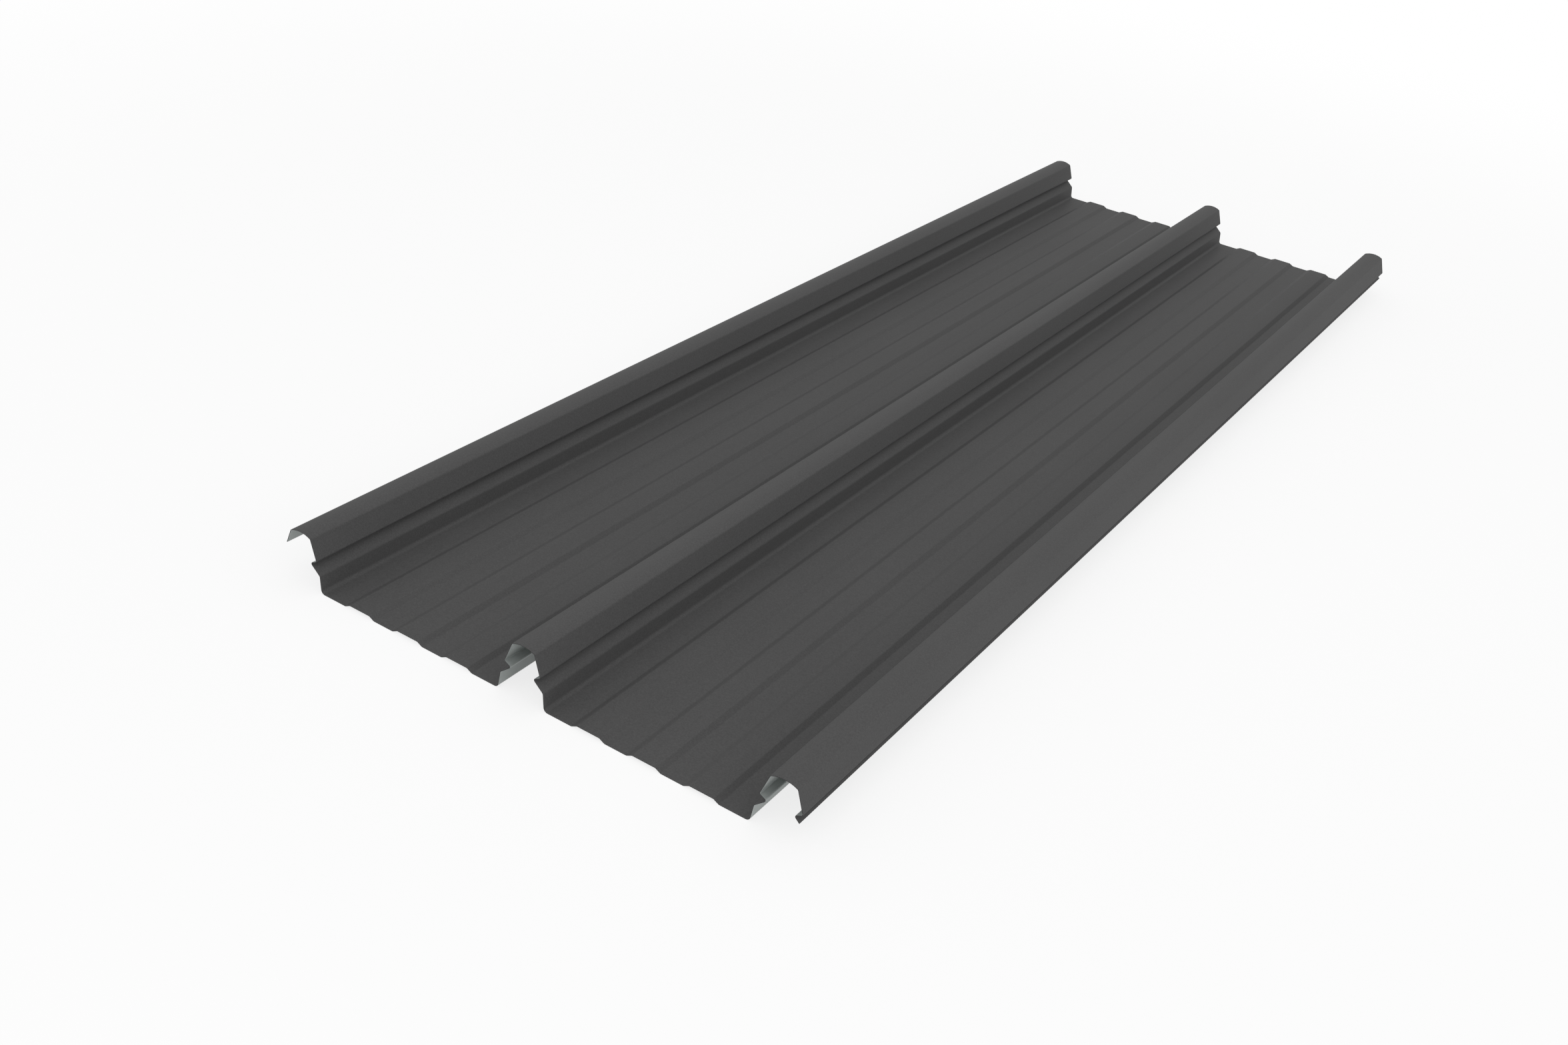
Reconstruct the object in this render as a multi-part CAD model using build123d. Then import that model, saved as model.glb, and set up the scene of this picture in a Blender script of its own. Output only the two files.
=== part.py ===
from build123d import *
from collections import namedtuple
import math
import os

# Concealed fix roof panel: one roll-formed, painted steel sheet that lies on its flat pans.
# X runs across the panel, Y along it and Z up. All sizes are in millimetres, and the section
# is measured along the middle of the sheet's thickness, up from the middle of the low pan.
# The origin is the middle of the panel's footprint, at the underside of the pans.

# Sheet
SHEET_THICKNESS = 0.53
PANEL_LENGTH = 1288.0

# Ribs, evenly spaced, as widths from web to web and heights above the pan
RIB_COUNT = 3
RIB_PITCH = 203.0
BASE_WIDTH = 39.9
BULGE_WIDTH = 36.6
BULGE_HEIGHT = 13.5
GROOVE_WIDTH = 18.7
GROOVE_HEIGHT = 21.1
LIP_WIDTH = 30.5
LIP_HEIGHT = 24.1
CREST_WIDTH = 18.9
CREST_HEIGHT = 40.2

# Side lap: the last rib fits over the first rib of the next panel with this gap between them,
# and the outer webs of both are cut off at these heights above the pan
LAP_CLEARANCE = 0.02
FIRST_EDGE_HEIGHT = 28.5
LAST_EDGE_HEIGHT = 17.1

# Flutes, alike and centred in each pan
FLUTE_COUNT = 3
FLUTE_PITCH = 45.0
FLUTE_TOP_WIDTH = 18.6
FLUTE_SLOPE_WIDTH = 4.4
FLUTE_HEIGHT = 2.25

# Bend radii at the middle of the sheet
BASE_RADIUS = 3.3
BULGE_RADIUS = 2.6
GROOVE_RADIUS = 1.4
LIP_RADIUS = 1.2
CREST_RADIUS = 1.9
FLUTE_RADIUS = 2.1

# Domed crest: its slope in degrees where it leaves its corners, and how much of the room
# between their bends its one wide arc takes
CREST_SLOPE = 25.0
CREST_ARC_SHARE = 0.98

Bend = namedtuple("Bend", "x z radius")


def web(hand, growth):
    """Bends of one web about the rib's middle, from the pan up to the crest.

    hand is -1 for the left web and 1 for the right one. growth is how far the snap-on part
    of the web, from the groove up, stands outside a plain rib's.
    """
    return [
        Bend(hand * BASE_WIDTH / 2, 0.0, BASE_RADIUS),
        Bend(hand * BULGE_WIDTH / 2, BULGE_HEIGHT, BULGE_RADIUS),
        Bend(hand * (GROOVE_WIDTH / 2 + growth), GROOVE_HEIGHT, GROOVE_RADIUS),
        Bend(hand * (LIP_WIDTH / 2 + growth), LIP_HEIGHT, LIP_RADIUS),
        Bend(hand * (CREST_WIDTH / 2 + growth), CREST_HEIGHT + growth, CREST_RADIUS),
    ]


def crest_arc(growth):
    """The crest's wide arc, as the one bend where its two end tangents meet above the rib's middle."""
    groove, lip, corner = web(1, growth)[2:]
    slope = math.radians(CREST_SLOPE)
    web_lean = math.atan2(corner.z - lip.z, lip.x - corner.x)
    taken_by_corner = corner.radius * math.tan((web_lean - slope) / 2)
    free_length = corner.x / math.cos(slope) - taken_by_corner
    radius = CREST_ARC_SHARE * free_length / math.tan(slope)
    return Bend(0.0, corner.z + corner.x * math.tan(slope), radius)


def cut_end(upper, lower, height):
    """End of a web that is cut off at a height between two of its bends."""
    share = (upper.z - height) / (upper.z - lower.z)
    return Bend(upper.x + share * (lower.x - upper.x), height, 0.0)


def rib(is_first, is_last):
    """Bends of one whole rib about its middle, from left to right."""
    growth = SHEET_THICKNESS + LAP_CLEARANCE if is_last else 0.0
    left = web(-1, growth)
    right = web(1, growth)
    if is_first:
        left = [cut_end(left[4], left[3], FIRST_EDGE_HEIGHT), left[4]]
    if is_last:
        right = [cut_end(right[2], right[1], LAST_EDGE_HEIGHT)] + right[2:]
    return left + [crest_arc(growth)] + right[::-1]


def flute():
    """Bends of one raised flute about its middle, from left to right."""
    half_top = FLUTE_TOP_WIDTH / 2
    half_foot = half_top + FLUTE_SLOPE_WIDTH
    return [
        Bend(-half_foot, 0.0, FLUTE_RADIUS),
        Bend(-half_top, FLUTE_HEIGHT, FLUTE_RADIUS),
        Bend(half_top, FLUTE_HEIGHT, FLUTE_RADIUS),
        Bend(half_foot, 0.0, FLUTE_RADIUS),
    ]


def shifted(bends, distance):
    """The same bends, moved across the panel."""
    return [bend._replace(x=bend.x + distance) for bend in bends]


def pan():
    """Bends of all flutes of one pan about its middle, from left to right."""
    first = -(FLUTE_COUNT - 1) / 2 * FLUTE_PITCH
    bends = []
    for index in range(FLUTE_COUNT):
        bends += shifted(flute(), first + index * FLUTE_PITCH)
    return bends


def section_bends():
    """All bends of the sheet, from its left free edge to its right one."""
    last = RIB_COUNT - 1
    bends = []
    for index in range(RIB_COUNT):
        rib_middle = index * RIB_PITCH
        bends += shifted(rib(index == 0, index == last), rib_middle)
        if index < last:
            bends += shifted(pan(), rib_middle + RIB_PITCH / 2)
    return bends


def cut_edges(upper, lower):
    """The two short lines that join the sheet's faces at its left and right free edges."""
    upper_ends = sorted([upper @ 0, upper @ 1], key=lambda point: point.X)
    lower_ends = sorted([lower @ 0, lower @ 1], key=lambda point: point.X)
    return [Line(top, bottom) for top, bottom in zip(upper_ends, lower_ends)]


def section_face():
    """The sheet's cross-section: half its thickness on each side of the bent middle line."""
    bends = section_bends()
    points = [(bend.x, bend.z) for bend in bends]
    radii = [bend.radius for bend in bends[1:-1]]
    middle_line = FilletPolyline(*points, radius=radii).wire()
    upper = middle_line.offset_2d(SHEET_THICKNESS / 2, side=Side.LEFT, closed=False)
    lower = middle_line.offset_2d(SHEET_THICKNESS / 2, side=Side.RIGHT, closed=False)
    return make_face(upper.edges() + lower.edges() + cut_edges(upper, lower))


def roof_panel():
    """The whole sheet, centred over the origin with the underside of its pans at height 0."""
    sheet = extrude(Plane.XZ * section_face(), amount=PANEL_LENGTH / 2, both=True)
    box = sheet.bounding_box()
    return Pos(-box.center().X, -box.center().Y, -box.min.Z) * sheet


if __name__ == "__main__":
    os.makedirs("parts", exist_ok=True)
    export_step(roof_panel(), "parts/roof_panel.step")
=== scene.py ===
"""Looks of a concealed fix roof panel: one long roll-formed steel sheet, painted on top.

The sheet is bent, thickened and finished here in place of the plain model of it, whose box
gives its length and its place. Sizes of the section are in millimetres, as the rolls are set.
Finished meshes are in metres, with X across the panel, Y along it and Z up.
"""

import logging
import math
from dataclasses import dataclass
from enum import IntEnum
from functools import reduce
from typing import Any

import bmesh
import bpy
from mathutils import Matrix, Quaternion, Vector

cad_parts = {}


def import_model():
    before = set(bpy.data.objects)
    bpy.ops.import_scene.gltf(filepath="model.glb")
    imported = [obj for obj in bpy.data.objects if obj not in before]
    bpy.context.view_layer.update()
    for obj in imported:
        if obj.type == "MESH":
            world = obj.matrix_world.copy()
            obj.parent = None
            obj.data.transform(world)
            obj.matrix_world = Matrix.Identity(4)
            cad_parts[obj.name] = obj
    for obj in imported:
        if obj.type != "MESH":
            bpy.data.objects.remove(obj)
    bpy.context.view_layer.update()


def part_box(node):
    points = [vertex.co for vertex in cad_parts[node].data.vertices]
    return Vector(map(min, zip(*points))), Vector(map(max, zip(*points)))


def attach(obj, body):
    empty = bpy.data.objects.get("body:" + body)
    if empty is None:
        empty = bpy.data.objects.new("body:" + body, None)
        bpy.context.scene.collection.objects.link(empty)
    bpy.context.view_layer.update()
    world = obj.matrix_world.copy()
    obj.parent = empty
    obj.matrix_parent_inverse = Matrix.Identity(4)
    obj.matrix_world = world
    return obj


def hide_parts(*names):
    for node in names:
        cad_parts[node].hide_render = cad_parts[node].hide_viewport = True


LOG = logging.getLogger("roof_panel")

# One millimetre in metres
MM = 0.001

# The attribute that tells how far up in the sheet a point lies, from 0 at the underside to 1 at the paint
SHEET_DEPTH = "sheet_depth"

# Nearly all of a noise pattern lies between these two values
PATTERN_LOW = 0.3
PATTERN_HIGH = 0.7

# The profile that makes a bevel round
ROUND_PROFILE = 0.5

WHITE = (1.0, 1.0, 1.0, 1.0)

Colour = tuple[float, float, float]
Triple = tuple[float, float, float]
Span = tuple[float, float]
Socket = bpy.types.NodeSocket


class Web(IntEnum):
    """One of a rib's two webs, as the sign of its place beside the rib's middle."""

    LEFT = -1
    RIGHT = 1


class Coat(IntEnum):
    """What covers a face of the sheet, as the index of its material."""

    PAINT = 0
    BACKING = 1
    CUT_EDGE = 2


@dataclass(frozen=True)
class Bend:
    """One bend of the sheet's section, in millimetres.

    Attributes:
        x: Place across the panel of the corner where the two straight runs would meet.
        z: Height of that corner above the middle of the low pan.
        radius: Bend radius at the middle of the sheet, 0 at a free edge.
    """

    x: float
    z: float
    radius: float = 0.0

    def moved(self, distance: float) -> "Bend":
        """The same bend, moved across the panel by a distance in millimetres."""
        return Bend(self.x + distance, self.z, self.radius)

    def corner(self) -> Vector:
        """The bend's corner as a point in the plane Y = 0, in millimetres."""
        return Vector((self.x, 0.0, self.z))


@dataclass(frozen=True)
class SheetSection:
    """The roll-formed section, measured along the middle of the sheet, in millimetres.

    Attributes:
        thickness: The sheet with its coats.
        rib_count: How many ribs there are.
        rib_pitch: Distance from one rib's middle to the next.
        base_width: Width between the two bends where a rib leaves the pan.
        bulge_width: Width across the bulge below the grooves.
        bulge_height: Height of the bulge above the pan.
        groove_width: Width of the neck between the two grooves.
        groove_height: Height of the grooves above the pan.
        lip_width: Width across the lips above the grooves.
        lip_height: Height of the lips above the pan.
        crest_width: Width between the crest's two corners.
        crest_height: Height of the crest's corners above the pan.
        crest_slope: Slope in degrees at which the domed crest leaves its corners.
        crest_arc_share: Share of the room between its corners that the dome's arc takes.
        lap_clearance: Gap between the last rib and the rib that it is pressed over.
        first_edge_height: Height at which the first rib's outer web is cut off.
        last_edge_height: Height at which the last rib's outer web is cut off.
        flute_count: How many flutes each pan has.
        flute_pitch: Distance from one flute's middle to the next.
        flute_top_width: Width of a flute's flat top.
        flute_slope_width: Width of each of a flute's slopes.
        flute_height: Height of a flute above the pan.
        base_radius: Bend between a web and the pan.
        bulge_radius: Bend at the bulge.
        groove_radius: Bend at the bottom of a groove.
        lip_radius: Bend at a lip.
        crest_radius: Bend at a corner of the crest.
        flute_radius: The four bends of a flute.
    """

    thickness: float = 0.53
    rib_count: int = 3
    rib_pitch: float = 203.0
    base_width: float = 39.9
    bulge_width: float = 36.6
    bulge_height: float = 13.5
    groove_width: float = 18.7
    groove_height: float = 21.1
    lip_width: float = 30.5
    lip_height: float = 24.1
    crest_width: float = 18.9
    crest_height: float = 40.2
    crest_slope: float = 25.0
    crest_arc_share: float = 0.98
    lap_clearance: float = 0.02
    first_edge_height: float = 28.5
    last_edge_height: float = 17.1
    flute_count: int = 3
    flute_pitch: float = 45.0
    flute_top_width: float = 18.6
    flute_slope_width: float = 4.4
    flute_height: float = 2.25
    base_radius: float = 3.3
    bulge_radius: float = 2.6
    groove_radius: float = 1.4
    lip_radius: float = 1.2
    crest_radius: float = 1.9
    flute_radius: float = 2.1

    def web(self, side: Web, growth: float) -> list[Bend]:
        """Bends of one web about the rib's middle, from the pan up to the crest.

        Args:
            side: Which web it is.
            growth: How far its part from the groove up stands outside a plain rib's.

        Returns:
            The bends at the base, bulge, groove, lip and crest.
        """
        return [
            Bend(side * self.base_width / 2, 0.0, self.base_radius),
            Bend(side * self.bulge_width / 2, self.bulge_height, self.bulge_radius),
            Bend(side * (self.groove_width / 2 + growth), self.groove_height, self.groove_radius),
            Bend(side * (self.lip_width / 2 + growth), self.lip_height, self.lip_radius),
            Bend(side * (self.crest_width / 2 + growth), self.crest_height + growth, self.crest_radius),
        ]

    def crest(self, growth: float) -> Bend:
        """The domed crest's wide arc, as one bend above the rib's middle.

        Args:
            growth: How far this rib's crest stands outside a plain rib's.

        Returns:
            The bend at the point where the arc's two end tangents meet.
        """
        lip, corner = self.web(Web.RIGHT, growth)[3:]
        slope = math.radians(self.crest_slope)
        web_lean = math.atan2(corner.z - lip.z, lip.x - corner.x)
        taken_by_corner = corner.radius * math.tan((web_lean - slope) / 2)
        free_length = corner.x / math.cos(slope) - taken_by_corner
        radius = self.crest_arc_share * free_length / math.tan(slope)
        return Bend(0.0, corner.z + corner.x * math.tan(slope), radius)

    @staticmethod
    def cut_end(upper: Bend, lower: Bend, height: float) -> Bend:
        """End of a web that is cut off between two of its bends.

        Args:
            upper: The bend above the cut.
            lower: The bend below the cut, which the panel no longer has.
            height: Height of the cut above the pan.

        Returns:
            The free edge.
        """
        share = (upper.z - height) / (upper.z - lower.z)
        return Bend(upper.x + share * (lower.x - upper.x), height)

    def rib(self, is_first: bool, is_last: bool) -> list[Bend]:
        """Bends of one rib about its middle, from left to right.

        Args:
            is_first: True for the rib whose left web is cut off above its groove.
            is_last: True for the larger rib, whose right web is cut off below its groove.

        Returns:
            The rib's bends, with a free edge at an end that is cut off.
        """
        growth = self.thickness + self.lap_clearance if is_last else 0.0
        left = self.web(Web.LEFT, growth)
        right = self.web(Web.RIGHT, growth)
        if is_first:
            lip, crest_corner = left[3:]
            left = [self.cut_end(crest_corner, lip, self.first_edge_height), crest_corner]
        if is_last:
            bulge, groove = right[1:3]
            right = [self.cut_end(groove, bulge, self.last_edge_height), *right[2:]]
        return [*left, self.crest(growth), *reversed(right)]

    def flute(self) -> list[Bend]:
        """Bends of one raised flute about its middle.

        Returns:
            The flute's four bends, from left to right.
        """
        half_top = self.flute_top_width / 2
        half_foot = half_top + self.flute_slope_width
        return [
            Bend(-half_foot, 0.0, self.flute_radius),
            Bend(-half_top, self.flute_height, self.flute_radius),
            Bend(half_top, self.flute_height, self.flute_radius),
            Bend(half_foot, 0.0, self.flute_radius),
        ]

    def pan(self) -> list[Bend]:
        """Bends of one pan's flutes about the pan's middle.

        Returns:
            The bends of all its flutes, from left to right.
        """
        first = -(self.flute_count - 1) / 2 * self.flute_pitch
        middles = [first + index * self.flute_pitch for index in range(self.flute_count)]
        return [bend.moved(middle) for middle in middles for bend in self.flute()]

    def bends(self) -> list[Bend]:
        """All bends of the sheet.

        Returns:
            The bends from the sheet's left free edge to its right one.
        """
        last = self.rib_count - 1
        found: list[Bend] = []
        for index in range(self.rib_count):
            rib_middle = index * self.rib_pitch
            found += [bend.moved(rib_middle) for bend in self.rib(index == 0, index == last)]
            if index < last:
                found += [bend.moved(rib_middle + self.rib_pitch / 2) for bend in self.pan()]
        return found


@dataclass(frozen=True)
class Pattern:
    """One noise pattern of a finish, fixed to the piece.

    Attributes:
        cells: Pattern cells for each metre.
        detail: How many finer layers it has.
        shade: Factors on the colour where the pattern is low and where it is high.
        stretch: Factors on the number of cells along X, Y and Z.
    """

    cells: float
    detail: float
    shade: Span
    stretch: Triple = (1.0, 1.0, 1.0)


@dataclass(frozen=True)
class Relief:
    """How a pattern stands out of the surface.

    Attributes:
        height: Height of the pattern in metres.
        strength: How much of that height shows, from 0 to 1.
    """

    height: float
    strength: float


class NodeBoard:
    """The nodes of one material or world, added and joined in few words."""

    def __init__(self, tree: bpy.types.NodeTree) -> None:
        """Empties a node tree, to build on.

        Args:
            tree: The tree of the material or world.
        """
        self.tree = tree
        tree.nodes.clear()

    def add(self, kind: str, inputs: dict[Any, Any] | None = None, **settings: Any) -> bpy.types.Node:
        """Adds one node.

        Args:
            kind: The node's type, without its ShaderNode prefix.
            inputs: Values or output sockets for the node's inputs, by name or index.
            **settings: The node's own properties.

        Returns:
            The new node.
        """
        node = self.tree.nodes.new("ShaderNode" + kind)
        for name, value in settings.items():
            setattr(node, name, value)
        for name, value in (inputs or {}).items():
            if isinstance(value, Socket):
                self.tree.links.new(value, node.inputs[name])
            else:
                node.inputs[name].default_value = value
        return node

    def noise(self, pattern: Pattern) -> Socket:
        """Draws a pattern, but not yet its shades.

        Args:
            pattern: The pattern.

        Returns:
            The pattern's value, from 0 to 1.
        """
        place = self.add("TexCoord").outputs["Object"]
        mapped = self.add("Mapping", {"Vector": place, "Scale": pattern.stretch}).outputs["Vector"]
        inputs = {"Vector": mapped, "Scale": pattern.cells, "Detail": pattern.detail}
        return self.add("TexNoise", inputs).outputs["Fac"]

    def spread(self, value: Socket, ends: Span) -> Socket:
        """Spreads a pattern's middle range over two new ends.

        Args:
            value: The pattern's value, from 0 to 1.
            ends: The results where the pattern is low and where it is high.

        Returns:
            The new value.
        """
        inputs = {
            "Value": value, "From Min": PATTERN_LOW, "From Max": PATTERN_HIGH,
            "To Min": ends[0], "To Max": ends[1],
        }
        return self.add("MapRange", inputs).outputs["Result"]

    def product(self, first: Socket, second: Socket) -> Socket:
        """The product of two values."""
        return self.add("Math", {0: first, 1: second}, operation="MULTIPLY").outputs["Value"]

    def tinted(self, colour: Colour | Socket, shades: list[Socket]) -> Socket:
        """A colour made darker and lighter by varying shades.

        Args:
            colour: The linear colour.
            shades: The factors on it, each about 1.

        Returns:
            The varied colour.
        """
        inputs = {0: colour, "Scale": reduce(self.product, shades)}
        return self.add("VectorMath", inputs, operation="SCALE").outputs["Vector"]

    def raised(self, value: Socket, relief: Relief) -> Socket:
        """A surface on which a pattern stands out.

        Args:
            value: The pattern's value.
            relief: How it stands out.

        Returns:
            The surface's normal.
        """
        inputs = {"Strength": relief.strength, "Distance": relief.height, "Height": value}
        return self.add("Bump", inputs).outputs["Normal"]

    def seen_rays(self) -> Socket:
        """Tells what is looked at from the light that falls on things.

        Returns:
            1 for what the camera sees, straight or in gloss or glass, and otherwise 0.
        """
        rays = self.add("LightPath").outputs
        seen = self.add("Math", {0: rays["Is Camera Ray"], 1: rays["Is Glossy Ray"]}, operation="ADD")
        inputs = {0: seen.outputs["Value"], 1: rays["Is Transmission Ray"]}
        return self.add("Math", inputs, operation="ADD", use_clamp=True).outputs["Value"]

    def surface(self, shader: bpy.types.Node) -> None:
        """Shows a shader node's first output as the material's surface."""
        self.add("OutputMaterial", {"Surface": shader.outputs[0]})


def new_material(name: str) -> tuple[bpy.types.Material, NodeBoard]:
    """Makes an empty node material.

    Args:
        name: The material's name.

    Returns:
        The material and the board that its nodes go on.
    """
    material = bpy.data.materials.new(name)
    material.use_nodes = True
    return material, NodeBoard(material.node_tree)


def new_piece(name: str, mesh: bmesh.types.BMesh) -> bpy.types.Object:
    """Puts a shaped mesh into the scene as an object, and frees it.

    Args:
        name: The object's name.
        mesh: The shaped mesh.

    Returns:
        The new object.
    """
    data = bpy.data.meshes.new(name)
    mesh.to_mesh(data)
    mesh.free()
    piece = bpy.data.objects.new(name, data)
    bpy.context.scene.collection.objects.link(piece)
    return piece


@dataclass(frozen=True)
class MattPaint:
    """Matt charcoal paint on the sheet's upper side, with a fine-textured skin.

    Attributes:
        colour: Linear colour.
        sheen: Specular level.
        roughness: Roughness in the hollows and on the grains of the skin.
        grain: The skin's grains.
        streaks: Faint streaks along the panel, as the rolls leave.
        drift: Slow changes of the paint's depth.
        relief: How the grains stand out.
    """

    colour: Colour = (0.0725, 0.0721, 0.0722)
    sheen: float = 0.10
    roughness: Span = (0.57, 0.67)
    grain: Pattern = Pattern(cells=950.0, detail=3.0, shade=(0.86, 1.14))
    streaks: Pattern = Pattern(cells=1.0, detail=3.0, shade=(0.985, 1.015), stretch=(160.0, 1.4, 160.0))
    drift: Pattern = Pattern(cells=7.0, detail=2.0, shade=(0.98, 1.02))
    relief: Relief = Relief(height=0.00004, strength=0.5)

    def material(self) -> bpy.types.Material:
        """Builds the paint.

        Returns:
            The paint's material.
        """
        material, board = new_material("matt_charcoal_paint")
        grain = board.noise(self.grain)
        shades = [
            board.spread(grain, self.grain.shade),
            board.spread(board.noise(self.streaks), self.streaks.shade),
            board.spread(board.noise(self.drift), self.drift.shade),
        ]
        board.surface(board.add("BsdfPrincipled", {
            "Base Color": board.tinted(self.colour, shades),
            "Roughness": board.spread(grain, self.roughness),
            "Specular IOR Level": self.sheen,
            "Normal": board.raised(grain, self.relief),
        }))
        return material


@dataclass(frozen=True)
class BackingCoat:
    """Thin grey-green wash coat on the sheet's underside.

    Attributes:
        colour: Linear colour.
        sheen: Specular level.
        roughness: Roughness where the drag lines are low and where they are high.
        metal: How much of the zinc shows through the coat.
        mottle: The coat's faint mottle.
        drag: Drag lines along the coil.
        relief: How the drag lines stand out.
    """

    colour: Colour = (0.345, 0.370, 0.361)
    sheen: float = 0.45
    roughness: Span = (0.42, 0.54)
    metal: float = 0.22
    mottle: Pattern = Pattern(cells=260.0, detail=4.0, shade=(0.96, 1.03))
    drag: Pattern = Pattern(cells=1.0, detail=4.0, shade=(0.975, 1.02), stretch=(420.0, 2.0, 420.0))
    relief: Relief = Relief(height=0.00002, strength=0.25)

    def material(self) -> bpy.types.Material:
        """Builds the coat.

        Returns:
            The coat's material.
        """
        material, board = new_material("grey_backing_coat")
        drag = board.noise(self.drag)
        shades = [
            board.spread(board.noise(self.mottle), self.mottle.shade),
            board.spread(drag, self.drag.shade),
        ]
        board.surface(board.add("BsdfPrincipled", {
            "Base Color": board.tinted(self.colour, shades),
            "Metallic": self.metal,
            "Roughness": board.spread(drag, self.roughness),
            "Specular IOR Level": self.sheen,
            "Normal": board.raised(drag, self.relief),
        }))
        return material


@dataclass(frozen=True)
class ShearedSteel:
    """Bare steel of a sheared edge, between its two coats.

    Attributes:
        torn: Linear colour of the torn steel.
        burnished: Linear colour of the band that the blade rubbed smooth.
        metal: How metallic both bands look.
        roughness: Roughness of the edge.
        coat_share: Share of the thickness that each coat takes.
        burnish_from: Depth share, from the underside up, where the smooth band starts.
        tear: The torn steel's fine pattern.
        relief: How that pattern stands out.
    """

    torn: Colour = (0.026, 0.026, 0.0265)
    burnished: Colour = (0.045, 0.045, 0.046)
    metal: float = 0.5
    roughness: float = 0.55
    coat_share: float = 0.06
    burnish_from: float = 0.62
    tear: Pattern = Pattern(cells=2600.0, detail=4.0, shade=(0.8, 1.2))
    relief: Relief = Relief(height=0.00003, strength=0.6)

    def bands(self) -> list[tuple[float, Colour]]:
        """The depth share where each band starts, from the underside up, with its colour."""
        return [
            (0.0, BackingCoat().colour),
            (self.coat_share, self.torn),
            (self.burnish_from, self.burnished),
            (1.0 - self.coat_share, MattPaint().colour),
        ]

    def material(self) -> bpy.types.Material:
        """Builds the edge: torn steel below, a smooth band above, and a coat at each face.

        Returns:
            The edge's material.
        """
        material, board = new_material("sheared_steel_edge")
        depth = board.add("Attribute", attribute_name=SHEET_DEPTH).outputs["Fac"]
        ramp = board.add("ValToRGB", {"Fac": depth})
        ramp.color_ramp.interpolation = "CONSTANT"
        stops = ramp.color_ramp.elements
        bands = self.bands()
        for start, _ in bands[len(stops):]:
            stops.new(start)
        for stop, (start, colour) in zip(stops, bands):
            stop.position = start
            stop.color = (*colour, 1.0)
        tear = board.noise(self.tear)
        board.surface(board.add("BsdfPrincipled", {
            "Base Color": board.tinted(ramp.outputs["Color"], [board.spread(tear, self.tear.shade)]),
            "Metallic": self.metal,
            "Roughness": self.roughness,
            "Normal": board.raised(tear, self.relief),
        }))
        return material


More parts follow.
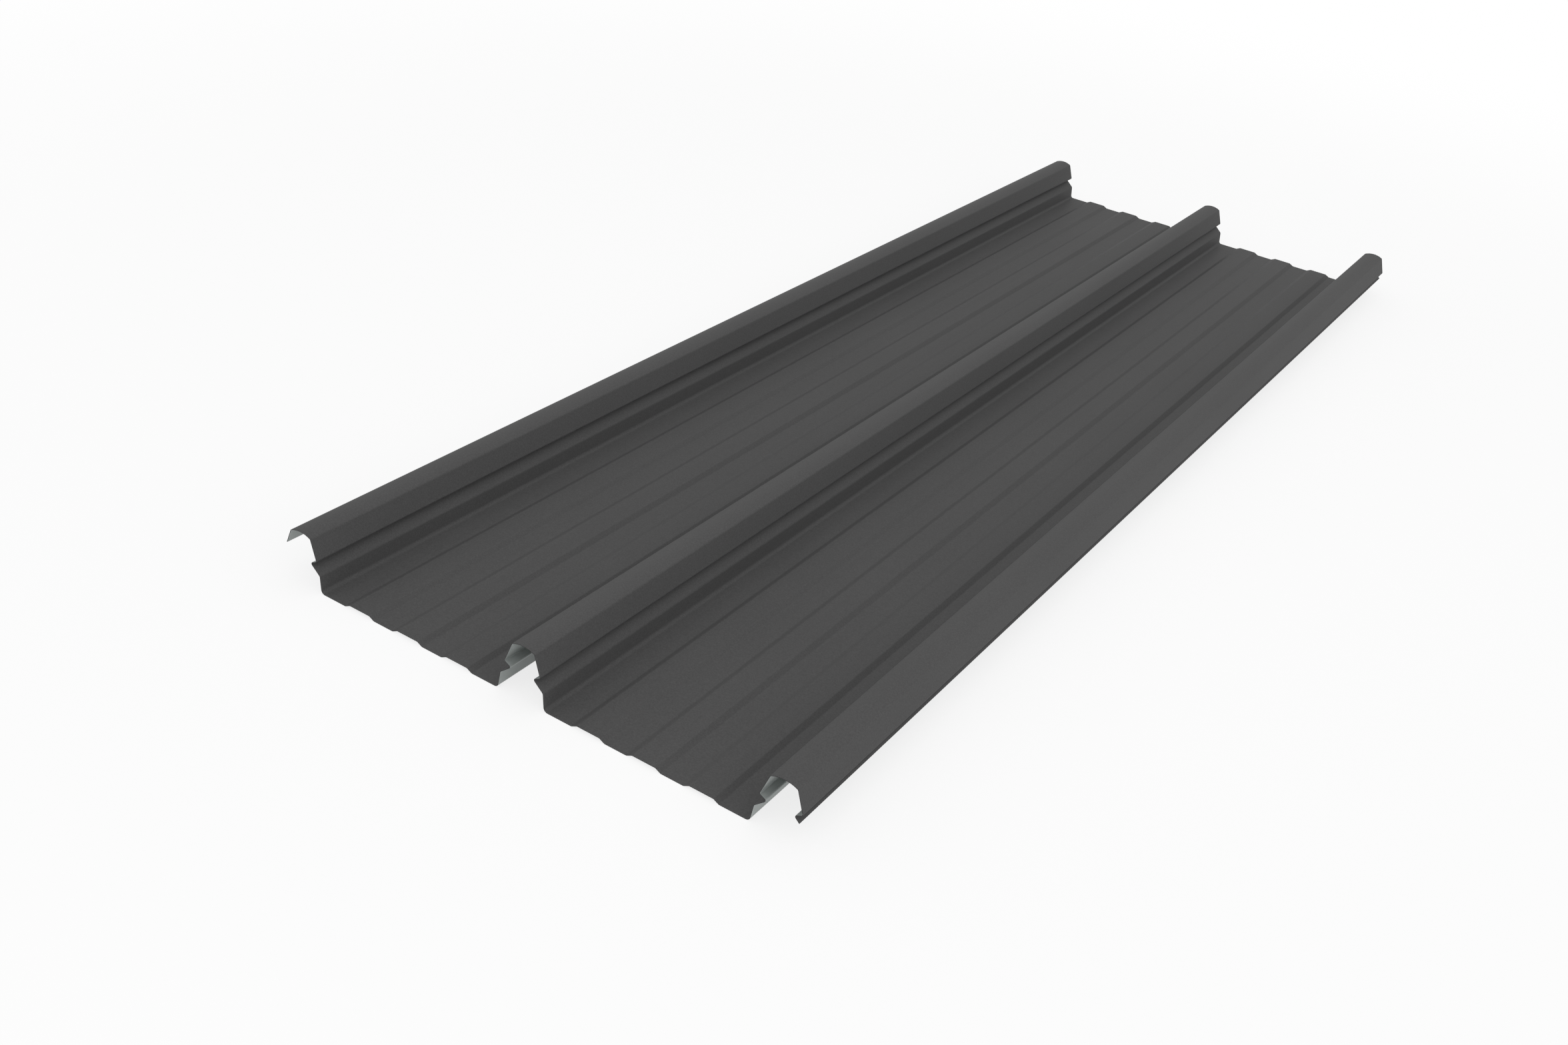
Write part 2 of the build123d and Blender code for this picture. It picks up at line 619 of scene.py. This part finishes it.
@dataclass
class RoofPanel:
    """The whole panel, bent from one sheet.

    Attributes:
        section: The section that the rolls give it.
        node: The model's node that it stands for.
        slot: Name of a finish; not used.
        turn_step: Degrees of bend that one facet takes at most.
        length_steps: Divisions along the length.
        edge_ease: Rounding of the sheared edges in millimetres.
        ease_facets: Facets across that rounding.
        large_face_weight: How far large faces rule the shading, where 50 is evenly.
    """

    section: SheetSection
    node: str = "roof_panel"
    slot: str = "painted_steel"
    turn_step: float = 7.0
    length_steps: int = 16
    edge_ease: float = 0.05
    ease_facets: int = 2
    large_face_weight: int = 80

    @staticmethod
    def run_on(mesh: bmesh.types.BMesh, tip: bmesh.types.BMVert, end: Vector) -> bmesh.types.BMVert:
        """Carries the line straight on from its tip.

        Args:
            mesh: The mesh that holds the line.
            tip: The line's last point.
            end: Where the straight run ends.

        Returns:
            The new last point.
        """
        grown = bmesh.ops.extrude_vert_indiv(mesh, verts=[tip])["verts"]
        bmesh.ops.translate(mesh, verts=grown, vec=end - tip.co)
        return grown[0]

    def rolled_line(self, mesh: bmesh.types.BMesh) -> None:
        """Draws the section's middle line at Y = 0, run by run and bend by bend.

        Args:
            mesh: The empty mesh that it goes into.
        """
        bends = self.section.bends()
        tip = mesh.verts.new(bends[0].corner())
        for before, bend, after in zip(bends, bends[1:], bends[2:]):
            arriving = (bend.corner() - before.corner()).normalized()
            leaving = (after.corner() - bend.corner()).normalized()
            turn = arriving.angle(leaving)
            tip = self.run_on(mesh, tip, bend.corner() - arriving * bend.radius * math.tan(turn / 2))
            axis = arriving.cross(leaving).normalized()
            facets_to_middle = math.ceil(math.degrees(turn) / self.turn_step / 2)
            arc = bmesh.ops.spin(
                mesh, geom=[tip], cent=tip.co + axis.cross(arriving) * bend.radius, axis=axis, angle=turn,
                steps=2 * facets_to_middle, use_merge=False,
            )
            tip = arc["geom_last"][0]
        self.run_on(mesh, tip, bends[-1].corner())

    def drawn_out(self, mesh: bmesh.types.BMesh, length: float) -> None:
        """Draws the middle line out along Y into a strip whose faces look up.

        Args:
            mesh: The mesh that holds the line.
            length: The panel's length in millimetres.
        """
        front = mesh.edges[:]
        for _ in range(self.length_steps):
            grown = bmesh.ops.extrude_edge_only(mesh, edges=front)["geom"]
            moved = [item for item in grown if isinstance(item, bmesh.types.BMVert)]
            bmesh.ops.translate(mesh, verts=moved, vec=(0.0, length / self.length_steps, 0.0))
            front = [item for item in grown if isinstance(item, bmesh.types.BMEdge)]
        bmesh.ops.recalc_face_normals(mesh, faces=mesh.faces[:])
        widest = max(mesh.faces, key=lambda face: face.calc_area())
        if widest.normal.z < 0:
            bmesh.ops.reverse_faces(mesh, faces=mesh.faces[:])
        self.put_in_order(mesh)

    @staticmethod
    def put_in_order(mesh: bmesh.types.BMesh) -> None:
        """Orders edges and faces by their points, because drawing out leaves them in a chance order.

        Args:
            mesh: The mesh, whose points are in the same order on each run.
        """
        mesh.verts.index_update()
        for items in (mesh.edges, mesh.faces):
            ranked = sorted(items, key=lambda item: sorted(vertex.index for vertex in item.verts))
            for rank, item in enumerate(ranked):
                item.index = rank
            items.sort()

    def bent_strip(self, length: float) -> bpy.types.Object:
        """Makes the sheet without its thickness.

        Args:
            length: The panel's length in millimetres.

        Returns:
            The strip, at the place of the section's own zero.
        """
        mesh = bmesh.new()
        self.rolled_line(mesh)
        self.drawn_out(mesh, length)
        return new_piece("painted_roof_panel", mesh)

    @staticmethod
    def coat(data: bpy.types.Mesh) -> None:
        """Gives a mesh its three coats, in the order of Coat."""
        for finish in (MattPaint(), BackingCoat(), ShearedSteel()):
            data.materials.append(finish.material())

    def thickened(self, strip: bpy.types.Object) -> bpy.types.Mesh:
        """Gives the strip its thickness, half on each side of the middle line.

        Args:
            strip: The object that holds the strip.

        Returns:
            A closed mesh, whose faces have the indices of Coat.
        """
        wall = strip.modifiers.new("thickness", "SOLIDIFY")
        wall.thickness = self.section.thickness
        wall.offset = 0.0
        wall.use_even_offset = True
        wall.material_offset = Coat.BACKING
        wall.material_offset_rim = Coat.CUT_EDGE
        shaped = strip.evaluated_get(bpy.context.evaluated_depsgraph_get())
        thick = bpy.data.meshes.new_from_object(shaped)
        strip.modifiers.clear()
        return thick

    def ease_edges(self, data: bpy.types.Mesh) -> None:
        """Marks how far up in the sheet each point lies, and rounds the sheared edges a little.

        Args:
            data: The closed sheet.
        """
        mesh = bmesh.new()
        mesh.from_mesh(data)
        depth = mesh.verts.layers.float.new(SHEET_DEPTH)
        for vertex in mesh.verts:
            vertex[depth] = float(any(face.material_index == Coat.PAINT for face in vertex.link_faces))
        sheared = [
            edge for edge in mesh.edges
            if sum(face.material_index == Coat.CUT_EDGE for face in edge.link_faces) == 1
        ]
        bmesh.ops.bevel(
            mesh, geom=sheared, offset=self.edge_ease, offset_type="OFFSET", segments=self.ease_facets,
            profile=ROUND_PROFILE, affect="EDGES", material=-1,
        )
        mesh.to_mesh(data)
        mesh.free()

    @staticmethod
    def settle(data: bpy.types.Mesh, low: Vector, high: Vector) -> None:
        """Turns a mesh into metres and sets it down where the model's node lies.

        Args:
            data: The sheet's mesh, in millimetres.
            low: Lowest corner of the node's box.
            high: Highest corner of the node's box.
        """
        data.transform(Matrix.Scale(MM, 4))
        points = [vertex.co for vertex in data.vertices]
        least = Vector(min(point[axis] for point in points) for axis in range(3))
        most = Vector(max(point[axis] for point in points) for axis in range(3))
        shift = (low + high - least - most) / 2
        shift.z = low.z - least.z
        data.transform(Matrix.Translation(shift))

    def even_out(self, panel: bpy.types.Object) -> None:
        """Evens the shading over the bends and the flat strips between them.

        Args:
            panel: The finished piece.
        """
        for face in panel.data.polygons:
            face.use_smooth = True
        even = panel.modifiers.new("even_shading", "WEIGHTED_NORMAL")
        even.weight = self.large_face_weight
        even.keep_sharp = True

    def build(self) -> bpy.types.Object:
        """Makes the panel in the place of the model's own node.

        Returns:
            The dressed panel, which rides on the model's one body.
        """
        low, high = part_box(self.node)
        panel = self.bent_strip((high.y - low.y) / MM)
        self.coat(panel.data)
        panel.data = self.thickened(panel)
        self.ease_edges(panel.data)
        self.settle(panel.data, low, high)
        self.even_out(panel)
        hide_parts(self.node)
        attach(panel, "root")
        return panel


@dataclass(frozen=True)
class Softbox:
    """One large soft lamp.

    Attributes:
        name: What the lamp does.
        place: Where it hangs, in metres.
        aim: The point that it faces.
        size: Width and length in metres.
        level: Light that it throws, in watts.
    """

    name: str
    place: Triple
    aim: Triple
    size: Span
    level: float

    def hang(self) -> None:
        """Adds the lamp to the scene."""
        lamp = bpy.data.lights.new(self.name, "AREA")
        lamp.shape = "RECTANGLE"
        lamp.size, lamp.size_y = self.size
        lamp.energy = self.level
        holder = bpy.data.objects.new(self.name, lamp)
        holder.location = self.place
        holder.rotation_euler = (Vector(self.aim) - Vector(self.place)).to_track_quat("-Z", "Y").to_euler()
        bpy.context.scene.collection.objects.link(holder)


@dataclass(frozen=True)
class Studio:
    """Pale floor, white surroundings and plain soft light.

    Attributes:
        fill: Level of the even light from all round.
        floor_colour: Linear colour of the floor.
        floor_glow: Share of plain white that the camera sees in the floor near the panel.
        fade_from: Distance in metres from the panel's middle where that share starts to grow.
        fade_to: Distance at which the floor is plain white.
        floor_size: Side of the square floor in metres.
        lamps: The soft lamps.
    """

    fill: float = 0.886
    floor_colour: Colour = (0.86, 0.86, 0.86)
    floor_glow: float = 0.78
    fade_from: float = 0.7
    fade_to: float = 2.0
    floor_size: float = 40.0
    lamps: tuple[Softbox, ...] = (
        Softbox("front_softbox", place=(0.2, -1.7, 2.4), aim=(0.0, -0.4, 0.0), size=(2.4, 2.4), level=8.8),
        Softbox("right_softbox", place=(2.7, -0.4, 1.0), aim=(0.0, 0.0, 0.0), size=(2.6, 1.6), level=8.9),
    )

    def surroundings(self) -> None:
        """Lights the world evenly, and shows it white to the camera and in reflections."""
        world = bpy.data.worlds.new("white_studio")
        world.use_nodes = True
        bpy.context.scene.world = world
        board = NodeBoard(world.node_tree)
        fill = board.add("Background", {"Color": WHITE, "Strength": self.fill})
        white = board.add("Background", {"Color": WHITE, "Strength": 1.0})
        mixed = board.add("MixShader", {0: board.seen_rays(), 1: fill.outputs[0], 2: white.outputs[0]})
        board.add("OutputWorld", {"Surface": mixed.outputs[0]})

    def floor_finish(self) -> bpy.types.Material:
        """Builds the floor's finish, nearly white to the camera but for the panel's soft shadow.

        Returns:
            The floor's material.
        """
        material, board = new_material("pale_floor")
        place = board.add("TexCoord").outputs["Object"]
        distance = board.add("VectorMath", {0: place}, operation="LENGTH").outputs["Value"]
        fade = board.add("MapRange", {
            "Value": distance, "From Min": self.fade_from, "From Max": self.fade_to,
            "To Min": self.floor_glow, "To Max": 1.0,
        }, interpolation_type="SMOOTHSTEP")
        glow = board.product(board.seen_rays(), fade.outputs["Result"])
        matt = board.add("BsdfDiffuse", {"Color": (*self.floor_colour, 1.0)})
        white = board.add("Emission", {"Color": WHITE, "Strength": 1.0})
        board.surface(board.add("MixShader", {0: glow, 1: matt.outputs[0], 2: white.outputs[0]}))
        return material

    def floor(self) -> None:
        """Lays the floor that the panel lies on."""
        mesh = bmesh.new()
        bmesh.ops.create_grid(mesh, x_segments=1, y_segments=1, size=self.floor_size / 2)
        floor = new_piece("studio_floor", mesh)
        floor.data.materials.append(self.floor_finish())

    def build(self) -> None:
        """Sets up the floor, the surroundings and the lamps."""
        self.surroundings()
        self.floor()
        for lamp in self.lamps:
            lamp.hang()
        bpy.context.scene.view_settings.view_transform = "Standard"


@dataclass(frozen=True)
class PhotoCamera:
    """The camera at the photograph's viewing angle.

    Attributes:
        place: Where it stands, in metres.
        aim: The point on the floor that the picture's middle shows.
        roll: Degrees that its right side is tipped up.
        focal_length: In millimetres, for a sensor of sensor_width.
        sensor_width: In millimetres.
    """

    place: Triple = (0.5616, -1.3390, 0.6700)
    aim: Triple = (-0.0005, -0.3235, 0.0)
    roll: float = 8.08
    focal_length: float = 38.21
    sensor_width: float = 36.0

    def set_up(self) -> None:
        """Makes the camera and has the scene use it."""
        lens = bpy.data.cameras.new("photo_camera")
        lens.lens = self.focal_length
        lens.sensor_width = self.sensor_width
        camera = bpy.data.objects.new("photo_camera", lens)
        level = (Vector(self.aim) - Vector(self.place)).to_track_quat("-Z", "Y")
        camera.rotation_mode = "QUATERNION"
        camera.rotation_quaternion = level @ Quaternion((0.0, 0.0, 1.0), math.radians(self.roll))
        camera.location = self.place
        bpy.context.scene.collection.objects.link(camera)
        bpy.context.scene.camera = camera


def main() -> None:
    """Builds the panel, the studio and the camera."""
    logging.basicConfig(level=logging.INFO, format="%(name)s %(message)s")
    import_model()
    panel = RoofPanel(SheetSection()).build()
    LOG.info("%s: %d faces", panel.name, len(panel.data.polygons))
    Studio().build()
    PhotoCamera().set_up()


if __name__ == "__main__":
    main()
